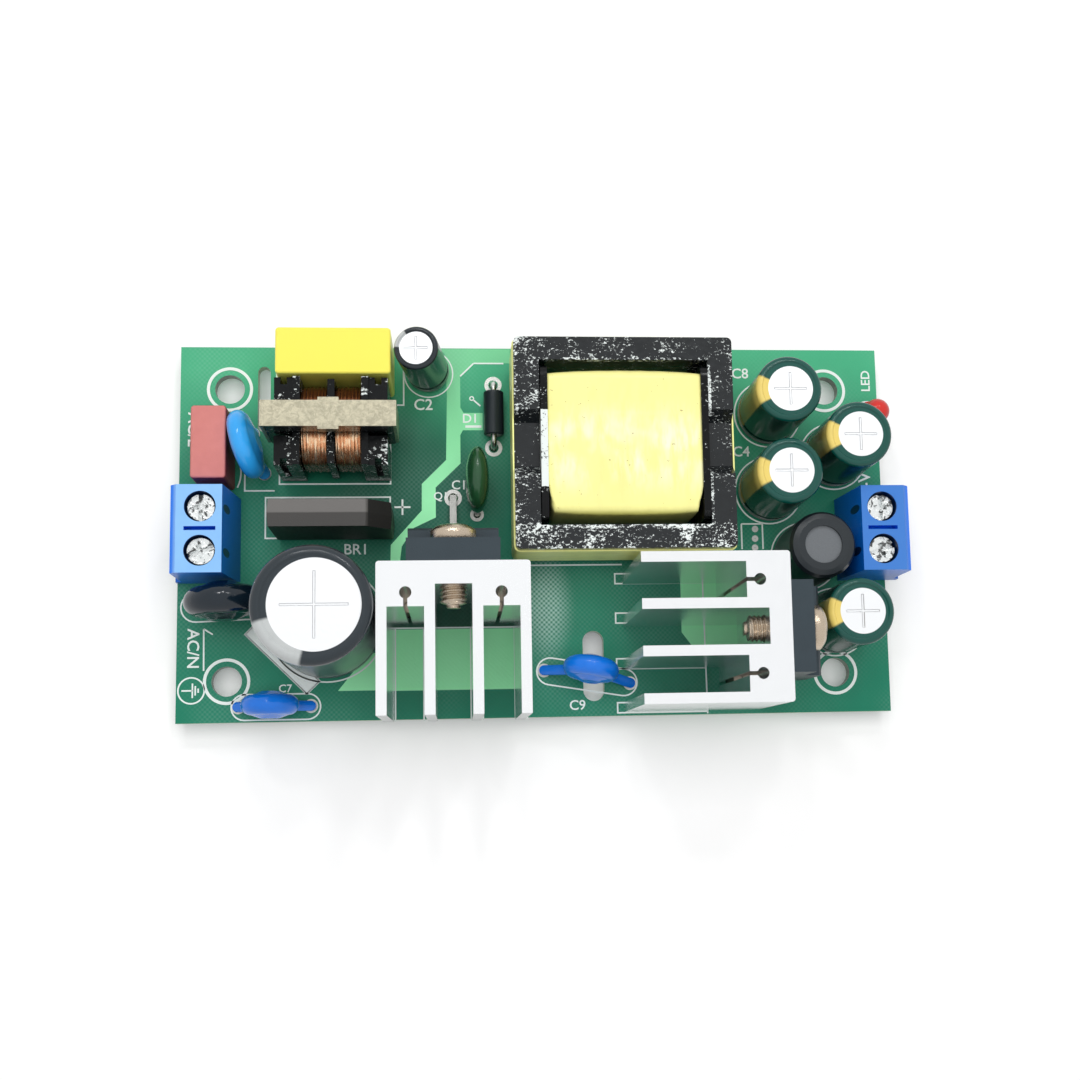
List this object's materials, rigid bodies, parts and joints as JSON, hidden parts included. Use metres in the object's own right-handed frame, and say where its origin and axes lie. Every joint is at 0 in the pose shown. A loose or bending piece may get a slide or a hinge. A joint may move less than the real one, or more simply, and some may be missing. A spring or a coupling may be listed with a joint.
{
  "type": "ac-dc power supply module",
  "caption": "Open-frame AC to DC power supply board with screw terminals at both ends, filter choke, flat transformer and finned heatsinks.",
  "frame": {"origin": "centre of the four fixing holes on the board's underside", "axes": "+X from the mains terminals to the output terminals, along the board; +Y across it, away from the heatsinks' open ends; +Z out of the parts side"},
  "size_m": [0.0864, 0.0452, 0.0255],
  "materials": {
    "board_laminate": "dark green lacquer over copper",
    "blue_housing": "moulded blue plastic",
    "blue_coating": "dipped blue epoxy",
    "black_coating": "dipped black resin",
    "black_sleeve": "shrunk black sleeve",
    "green_sleeve": "shrunk dark green sleeve",
    "black_moulding": "moulded black epoxy",
    "black_former": "black former with varnish",
    "ferrite": "black ferrite with varnish",
    "enamelled_copper": "enamelled copper wire",
    "clip_steel": "bare spring steel",
    "green_coating": "dipped dark green epoxy",
    "yellow_case": "moulded yellow box",
    "yellow_tape": "yellow polyester tape",
    "fuse_case": "moulded brown-red box",
    "tinned_metal": "tinned",
    "plated_steel": "nickel plated",
    "bronze_steel": "plated screw, warm grey",
    "solder": "bright solder",
    "sink_aluminium": "extruded, bright",
    "red_lens": "tinted red epoxy",
    "chip_ceramic": "tan ceramic",
    "chip_resistor_body": "black glaze on ceramic"
  },
  "bodies": {
    "module": {"bias_capacitor": "black_sleeve", "bridge_rectifier": "black_moulding", "bridge_safety_capacitor": "blue_coating", "bulk_capacitor": "black_sleeve", "chip_capacitors": "chip_ceramic", "chip_resistors": "chip_resistor_body", "choke_bobbin": "black_former", "choke_clip": "clip_steel", "choke_core_left": "ferrite", "choke_core_right": "ferrite", "choke_windings": "enamelled_copper", "circuit_board": "board_laminate", "clamp_diode": "black_moulding", "controller_chip": "black_moulding", "film_capacitor": "green_coating", "filter_capacitor": "yellow_case", "fuse": "fuse_case", "inrush_disc": "black_coating", "isolator_chip": "black_moulding", "line_safety_capacitor": "blue_coating", "mains_terminal_contacts": "tinned_metal", "mains_terminal_housing": "blue_housing", "output_capacitor_a": "green_sleeve", "output_capacitor_b": "green_sleeve", "output_capacitor_c": "green_sleeve", "output_capacitor_d": "green_sleeve", "output_choke_drum": "ferrite", "output_choke_sleeve": "black_sleeve", "output_rectifier": "black_moulding", "output_terminal_contacts": "tinned_metal", "output_terminal_housing": "blue_housing", "package_leads": "tinned_metal", "power_light": "red_lens", "primary_heatsink": "sink_aluminium", "primary_heatsink_pins": "tinned_metal", "rectifier_screw": "bronze_steel", "reference_chip": "black_moulding", "secondary_heatsink": "sink_aluminium", "secondary_heatsink_pins": "tinned_metal", "solder_joints": "solder", "surge_disc": "blue_coating", "switch_transistor": "black_moulding", "transformer_coil_former": "black_former", "transformer_core_left": "ferrite", "transformer_core_right": "ferrite", "transformer_core_tape": "yellow_tape", "transformer_winding": "yellow_tape", "transistor_screw": "bronze_steel", "wire_leads": "tinned_metal"},
    "mains_screw_1": {"mains_clamp_screw_1": "plated_steel"},
    "mains_clamp_1": {"mains_cage_1": "plated_steel"},
    "mains_screw_2": {"mains_clamp_screw_2": "plated_steel"},
    "mains_clamp_2": {"mains_cage_2": "plated_steel"},
    "output_screw_1": {"output_clamp_screw_1": "plated_steel"},
    "output_clamp_1": {"output_cage_1": "plated_steel"},
    "output_screw_2": {"output_clamp_screw_2": "plated_steel"},
    "output_clamp_2": {"output_cage_2": "plated_steel"}
  },
  "joints": [
    {"name": "mains_screw_1_turn", "type": "hinge", "parent": "module", "child": "mains_screw_1", "pos_m": [-0.038, 0.0016, 0.0016], "axis": [0, 0, -1], "range_deg": [0, 1621]},
    {"name": "mains_clamp_1_lift", "type": "slide", "parent": "module", "child": "mains_clamp_1", "axis": [0, 0, 1], "range_m": [0, 0.00202]},
    {"name": "mains_screw_2_turn", "type": "hinge", "parent": "module", "child": "mains_screw_2", "pos_m": [-0.038, -0.0034, 0.0016], "axis": [0, 0, -1], "range_deg": [0, 1621]},
    {"name": "mains_clamp_2_lift", "type": "slide", "parent": "module", "child": "mains_clamp_2", "axis": [0, 0, 1], "range_m": [0, 0.00202]},
    {"name": "output_screw_1_turn", "type": "hinge", "parent": "module", "child": "output_screw_1", "pos_m": [0.0402, 0.0012, 0.0016], "axis": [0, 0, -1], "range_deg": [0, 1621]},
    {"name": "output_clamp_1_lift", "type": "slide", "parent": "module", "child": "output_clamp_1", "axis": [0, 0, 1], "range_m": [0, 0.00202]},
    {"name": "output_screw_2_turn", "type": "hinge", "parent": "module", "child": "output_screw_2", "pos_m": [0.0402, -0.0038, 0.0016], "axis": [0, 0, -1], "range_deg": [0, 1621]},
    {"name": "output_clamp_2_lift", "type": "slide", "parent": "module", "child": "output_clamp_2", "axis": [0, 0, 1], "range_m": [0, 0.00202]}
  ],
  "couplings": [
    {"joint": "mains_screw_1_turn", "follows": "mains_clamp_1_lift", "rad_per_m": 13963},
    {"joint": "mains_screw_2_turn", "follows": "mains_clamp_2_lift", "rad_per_m": 13963},
    {"joint": "output_screw_1_turn", "follows": "output_clamp_1_lift", "rad_per_m": 13963},
    {"joint": "output_screw_2_turn", "follows": "output_clamp_2_lift", "rad_per_m": 13963}
  ]
}
